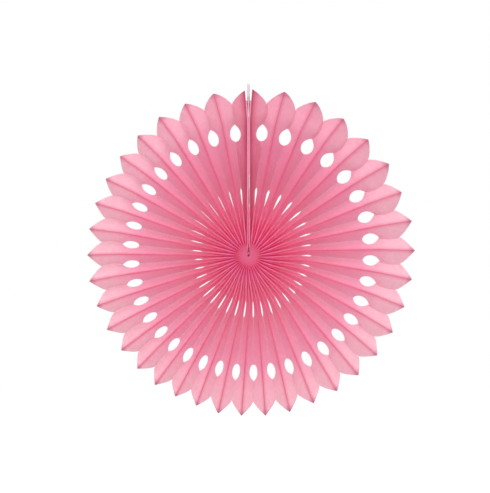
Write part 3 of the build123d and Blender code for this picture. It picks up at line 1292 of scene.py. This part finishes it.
@dataclass
class PressedHub:
    """The inner ends of all the pleats, pressed into a low dome with a small eye and a seam to the top.

    Past the disc it goes on as a skirt between the pleats, furrowed like them, so that no light shows
    through.
    """

    plan: FanPlan
    finish: TissuePaper
    ridge_height: float = 1.0
    rows: int = 9
    steps_per_fold: int = 6
    card_start: float = 2.7
    card_gap: float = 0.2
    pinched_gap: float = 0.03
    pinched_radius: float = 0.15
    pinched_depth: float = 3.0
    dome: float = 1.0
    skirt_radius: float = 18.0
    skirt_rows: int = 6
    skirt_depth: float = 8.0
    skirt_power: float = 1.3
    across_share: float = 0.9
    sharp_degrees: float = 50.0

    def section(self) -> tuple[np.ndarray, np.ndarray, np.ndarray]:
        """Lay out one radial section, from the pinched inside of the eye out to the skirt's edge.

        Returns:
            Its radii, half the seam's gap at each, and the depth of its front face.
        """
        plan = self.plan
        disc = np.linspace(self.card_start + self.card_gap, plan.hub_radius, self.rows)
        skirt = np.linspace(plan.hub_radius, self.skirt_radius, self.skirt_rows)[1:]
        outer = np.concatenate([disc, skirt])
        inner = [self.pinched_radius, plan.eye_radius, self.card_start - self.card_gap]
        radius = np.concatenate([inner, outer])
        open_share = (outer - outer[0]) / (outer[-1] - outer[0])
        gap = np.concatenate([[self.pinched_gap] * len(inner), plan.seam_half + plan.flap_gap * open_share])
        depth = np.full_like(radius, plan.hub_depth / 2)
        depth[0] = self.pinched_depth
        return radius, gap, depth

    def loops(self, folds: np.ndarray) -> np.ndarray:
        """Carry the section round the hub: each loop runs out along the front and back in along the back.

        The front is furrowed at every back fold, and the back at every front fold, by a cosine whose height
        grows with the cube of the radius, and past the disc, in its skirt, by a power to the skirt's depth.
        The dome falls with the square of the radius.

        Args:
            folds: Numbers of the folds, with steps between them.

        Returns:
            Points by fold and place in the loop.
        """
        plan = self.plan
        radius, gap, depth = (values[None, :] for values in self.section())
        first = np.arcsin(gap / radius)
        full = plan.bearing(folds, np.maximum(radius, plan.hub_radius))
        span = (full - full[:1]) / (full[-1:] - full[:1])
        bearing = first + (2 * np.pi - 2 * first) * span
        skirt = np.clip((radius - plan.hub_radius) / (self.skirt_radius - plan.hub_radius), 0, 1)
        furrow = self.ridge_height * np.minimum(radius / plan.hub_radius, 1) ** 3 / 2
        furrow = furrow + (self.skirt_depth - self.ridge_height) * skirt**self.skirt_power / 2
        wave = np.cos(np.pi * folds)
        dome = self.dome * np.clip(1 - (radius / plan.hub_radius) ** 2, 0, None)
        front = -depth + furrow * (1 + wave) - dome
        back = depth - furrow * (1 - wave)
        right = radius * np.sin(bearing)
        rise = radius * np.cos(bearing)
        front_side = np.stack(np.broadcast_arrays(right, front, rise), axis=-1)
        back_side = np.stack(np.broadcast_arrays(right, back, rise), axis=-1)
        return np.concatenate([front_side, back_side[:, ::-1]], axis=1)

    def build(self) -> bpy.types.Object:
        """Make the disc from its loops, cap both sides of the seam, and dress it.

        Returns:
            The hub piece.
        """
        plan = self.plan
        folds = np.linspace(0, plan.fold_count, plan.fold_count * self.steps_per_fold + 1)[:, None]
        loop = self.loops(folds)
        count, size = loop.shape[:2]
        number = np.arange(count * size).reshape(count, size)
        after = np.roll(number, -1, axis=1)
        quads = np.stack([number[:-1], number[1:], after[1:], after[:-1]], axis=-1).reshape(-1, 4)
        step = np.arange(size // 2 - 1)
        cap = np.stack([step, step + 1, size - 2 - step, size - 1 - step], axis=-1)
        faces = np.concatenate([quads, number[0][cap], number[-1][cap[:, ::-1]]])
        mesh = bpy.data.meshes.new("pressed_hub")
        mesh.from_pydata((loop.reshape(-1, 3) * MM).tolist(), [], faces.tolist())
        mesh.polygons.foreach_set("use_smooth", np.ones(len(mesh.polygons), dtype=bool))
        layer = mesh.uv_layers.new(name="strip")
        corner = np.empty(len(mesh.loops), dtype=np.int32)
        mesh.loops.foreach_get("vertex_index", corner)
        along = np.broadcast_to(folds * plan.strip_panel, (count, size))
        strip = np.stack([along, np.hypot(loop[..., 0], loop[..., 2])], axis=-1).reshape(-1, 2)
        layer.uv.foreach_set("vector", (strip[corner] * MM).astype(np.float32).ravel())
        attribute = mesh.attributes.new("across", "FLOAT", "CORNER")
        attribute.data.foreach_set("value", np.full(len(corner), self.across_share, dtype=np.float32))
        mesh.validate()
        piece = bpy.data.objects.new("pressed_hub", mesh)
        bpy.context.scene.collection.objects.link(piece)
        mesh.set_sharp_from_angle(angle=np.radians(self.sharp_degrees))
        dress(piece, self.finish.material(plan, Stack.PACKED))
        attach(piece, "root")
        LOG.info("%s has %d faces", piece.name, len(mesh.polygons))
        return piece


@dataclass
class SeamHems:
    """The strip's two ends, turned over the cards' front edges as narrow hems that meet up to the petals.

    Both are doubled tissue, so they are paler than the sheets beside them. Where they sink into the hub
    they are painted dark, as shade.
    """

    plan: FanPlan
    # Tissue, folded double: paler than one sheet, with soft clouds. The deep pink near the hub is painted
    # shade, where the hems sink into it.
    finish: PlainPaper = PlainPaper(
        "doubled_tissue",
        "#F79DB8",
        mottle_mm=4.0,
        mottle_share=0.05,
        bands=(
            (0, "#B02C5A"),
            (9, "#B83462"),
            (15, "#EC6690"),
            (48, "#F0749A"),
            (66, "#F79DB8"),
            (210, "#F79DB8"),
        ),
    )
    half_thickness: float = 0.08
    start: float = 3.2
    end: float = 187.0
    rows: int = 120
    parting: float = 165.0
    parting_slope: float = 0.075
    columns: int = 9
    outer: float = 1.7
    inner: float = 0.04
    card_front: float = 12.0
    stand: float = 0.2
    arch: float = 0.5
    bare_from: float = 56.0
    bare_to: float = 101.0
    bare_blend: float = 4.0
    bare_inner: float = 1.3
    narrow_to: float = 36.0
    hub_narrowing: float = 0.85
    hub_dome: float = 1.0

    def sheet(self) -> SheetMesh:
        """Work out the hems: each is half an ellipse over its card's edge, and both part at the petals.

        The right one leaves its card bare for a while. Both narrow towards the hub, and follow its dome
        there.

        Returns:
            Both hems as one sheet.
        """
        rise = np.linspace(self.start, self.end, self.rows)[None, :, None]
        side = np.array([1, -1])[:, None, None]
        turn = np.linspace(0, np.pi, self.columns)[None, None, :]
        bare = smooth_step((rise - self.bare_from) / self.bare_blend)
        bare = bare * smooth_step((self.bare_to - rise) / self.bare_blend) * (side > 0)
        near_hub = 1 - smooth_step((rise - self.narrow_to) / (self.bare_from - self.narrow_to))
        inner = self.inner + (self.bare_inner - self.inner) * bare
        inner = inner + self.parting_slope * np.clip(rise - self.parting, 0, None)
        outer = self.outer - self.hub_narrowing * near_hub + self.plan.flap_stand(rise)
        middle, half = (outer + inner) / 2, (outer - inner) / 2
        right = side * (middle + half * np.cos(turn))
        dome = self.hub_dome * np.clip(1 - (rise / self.plan.hub_radius) ** 2, 0, None)
        front = -self.card_front - self.stand - dome - self.arch * np.sin(turn)
        points = np.stack(np.broadcast_arrays(right, front, rise), axis=-1).astype(float)
        way = np.stack(np.broadcast_arrays(-side * np.cos(turn), np.sin(turn), 0 * rise), axis=-1)
        count = points[..., 0].size
        number = np.arange(count).reshape(points.shape[:3])
        number = np.where(side[..., :1] > 0, number, number[:, :, ::-1])
        quads = np.stack(
            [number[:, :-1, :-1], number[:, :-1, 1:], number[:, 1:, 1:], number[:, 1:, :-1]], axis=-1
        ).reshape(-1, 4)
        flat = points.reshape(-1, 3)
        strip = np.stack([flat[:, 0], flat[:, 2]], axis=-1)[quads]
        across = np.full(quads.shape, 0.5)
        return SheetMesh(flat, way.reshape(-1, 3) * self.half_thickness, quads, strip, across)

    def build(self) -> bpy.types.Object:
        """Make the piece and dress it in doubled tissue.

        Returns:
            The hems' piece.
        """
        piece = self.sheet().build("seam_hems")
        dress(piece, self.finish.material())
        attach(piece, "root")
        LOG.info("%s has %d faces", piece.name, len(piece.data.polygons))
        return piece


@dataclass
class SeamParts:
    """The cards, tape and thread, which stay as they are and get their finishes."""

    nodes: dict[str, bpy.types.Object]
    # Card, dyed and die-cut: its edge is pale where it is bare. The deep pink near the hub and between the
    # flaps is painted shade, where the edge lies deep among the tissue.
    card: PlainPaper = PlainPaper(
        "pink_card",
        "#F0B4C4",
        bands=(
            (0, "#E8688E"),
            (54, "#E8688E"),
            (57, "#F7E4E8"),
            (100, "#F7E4E8"),
            (103, "#D24A74"),
            (170, "#D24A74"),
            (180, "#A8325A"),
            (190, "#B8466A"),
            (196, "#E2B4C0"),
            (210, "#D9C0C6"),
        ),
    )
    # Tissue tape, glued on both sides: a dull pink film that hardly shows between the cards.
    tape: PlainPaper = PlainPaper("tissue_tape", "#E9A9B8", roughness=0.6)
    # Cotton thread, twisted and dyed: matt, with a mottle as fine as its twist.
    thread: PlainPaper = PlainPaper("cotton_thread", "#E88FA8", roughness=0.9, mottle_mm=0.3)

    def build(self) -> None:
        """Dress each node with its own finish."""
        card = self.card.material()
        finishes = {
            "right_end_card": card,
            "left_end_card": card,
            "adhesive_strip": self.tape.material(),
            "binding_thread": self.thread.material(),
        }
        for name, material in finishes.items():
            dress(self.nodes[name], material)
            LOG.info("%s is dressed with %s", name, material.name)


@dataclass(frozen=True)
class Lamp:
    """A soft square lamp: its name, where it hangs and its side in metres, and its power in watts."""

    name: str
    place: tuple[float, float, float]
    size: float
    watts: float


@dataclass
class Studio:
    """A white studio: a pale floor far below, soft light all round, two lamps, and the camera.

    One lamp hangs high behind the fan, so that the tissue glows, and a small one stands low in front.
    """

    plan: FanPlan
    frame_width_px: float = 490.0
    frame_height_px: float = 493.0
    fan_centre_px: tuple[float, float] = (250.8, 252.6)
    tip_radius_px: float = 163.4
    camera_distance: float = 1.6
    floor_height: float = -0.6
    floor_size: float = 8.0
    floor_colour: str = "#F2F2F2"
    floor_lift: float = 0.5
    ambient: float = 0.55
    light_bounces: int = 24
    lamps: tuple[Lamp, ...] = (
        Lamp("back_key", (0.0, 1.6, 2.8), 2.2, 45.0),
        Lamp("front_fill", (0.0, -1.5, -0.42), 0.7, 10.5),
    )
    white: tuple[float, float, float, float] = field(default_factory=lambda: linear("#FFFFFF"))

    def camera(self) -> None:
        """Stand the camera square in front, with the rim's middle on its pixel and the tips on theirs."""
        per_px = self.plan.tip_radius * MM / self.tip_radius_px
        right = self.plan.rim_centre_right * MM - (self.fan_centre_px[0] - self.frame_width_px / 2) * per_px
        rise = self.plan.rim_centre_rise * MM + (self.fan_centre_px[1] - self.frame_height_px / 2) * per_px
        data = bpy.data.cameras.new("camera")
        data.sensor_fit = "HORIZONTAL"
        tips_back = self.plan.rim_depth / 2 * MM
        data.lens = data.sensor_width * (self.camera_distance + tips_back) / (self.frame_width_px * per_px)
        camera = bpy.data.objects.new("camera", data)
        camera.location = (right, -self.camera_distance, rise)
        camera.rotation_euler = (np.pi / 2, 0, 0)
        bpy.context.scene.collection.objects.link(camera)
        bpy.context.scene.camera = camera

    def world(self) -> None:
        """Light the fan from all round, and show white to the camera and to gloss."""
        world = bpy.data.worlds.new("white_studio")
        bpy.context.scene.world = world
        world.use_nodes = True
        tree = world.node_tree
        tree.nodes.clear()
        path = add_node(tree, "ShaderNodeLightPath")
        seen = add_node(
            tree,
            "ShaderNodeMath",
            {"operation": "MAXIMUM"},
            {0: path.outputs["Is Camera Ray"], 1: path.outputs["Is Glossy Ray"]},
        )
        shown = add_node(
            tree,
            "ShaderNodeMath",
            {"operation": "MAXIMUM"},
            {0: seen.outputs[0], 1: path.outputs["Is Transmission Ray"]},
        )
        lit = add_node(tree, "ShaderNodeBackground", {"Color": self.white, "Strength": self.ambient})
        white = add_node(tree, "ShaderNodeBackground", {"Color": self.white, "Strength": 1.0})
        mixed = add_node(
            tree, "ShaderNodeMixShader", links={0: shown.outputs[0], 1: lit.outputs[0], 2: white.outputs[0]}
        )
        add_node(tree, "ShaderNodeOutputWorld", links={"Surface": mixed.outputs[0]})

    def floor(self) -> None:
        """Lay a floor of matt white board: it shows white to the camera and still takes a shadow."""
        half = self.floor_size / 2
        mesh = bpy.data.meshes.new("floor")
        corners = [(-half, -half, self.floor_height), (half, -half, self.floor_height)]
        corners += [(half, half, self.floor_height), (-half, half, self.floor_height)]
        mesh.from_pydata(corners, [], [(0, 1, 2, 3)])
        floor = bpy.data.objects.new("floor", mesh)
        bpy.context.scene.collection.objects.link(floor)
        material, tree = new_material("pale_floor")
        path = add_node(tree, "ShaderNodeLightPath")
        matt = add_node(tree, "ShaderNodeBsdfDiffuse", {"Color": linear(self.floor_colour)})
        lift = add_node(
            tree,
            "ShaderNodeMath",
            {"operation": "MULTIPLY", 1: self.floor_lift},
            {0: path.outputs["Is Camera Ray"]},
        )
        glow = add_node(tree, "ShaderNodeEmission", {"Color": self.white}, {"Strength": lift.outputs[0]})
        both = add_node(tree, "ShaderNodeAddShader", links={0: matt.outputs[0], 1: glow.outputs[0]})
        add_node(tree, "ShaderNodeOutputMaterial", links={"Surface": both.outputs[0]})
        dress(floor, material)

    def hang(self, lamp: Lamp) -> None:
        """Hang a lamp so that it points at the hub.

        Args:
            lamp: The lamp.
        """
        data = bpy.data.lights.new(lamp.name, "AREA")
        data.shape = "SQUARE"
        data.size = lamp.size
        data.energy = lamp.watts
        hung = bpy.data.objects.new(lamp.name, data)
        away = np.array(lamp.place) / np.linalg.norm(lamp.place)
        hung.location = lamp.place
        hung.rotation_euler = (np.arccos(away[2]), 0, np.arctan2(away[0], -away[1]))
        bpy.context.scene.collection.objects.link(hung)

    def build(self) -> None:
        """Set up the camera, the light and the floor, with enough bounces for light between the pleats."""
        bpy.context.scene.view_settings.view_transform = "Standard"
        paths = bpy.context.scene.cycles
        paths.max_bounces = self.light_bounces
        paths.diffuse_bounces = self.light_bounces
        paths.transmission_bounces = self.light_bounces
        self.camera()
        self.world()
        self.floor()
        for lamp in self.lamps:
            self.hang(lamp)


def main() -> None:
    """Load the frame, build and dress every piece, and set up the studio."""
    logging.basicConfig(level=logging.INFO, format="%(message)s")
    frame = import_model()
    plan = FanPlan()
    Studio(plan).build()
    finish = TissuePaper()
    PleatedTissue(plan, DieCut(), finish).build()
    PressedHub(plan, finish).build()
    SeamHems(plan).build()
    SeamParts(frame["nodes"]).build()


if __name__ == "__main__":
    main()
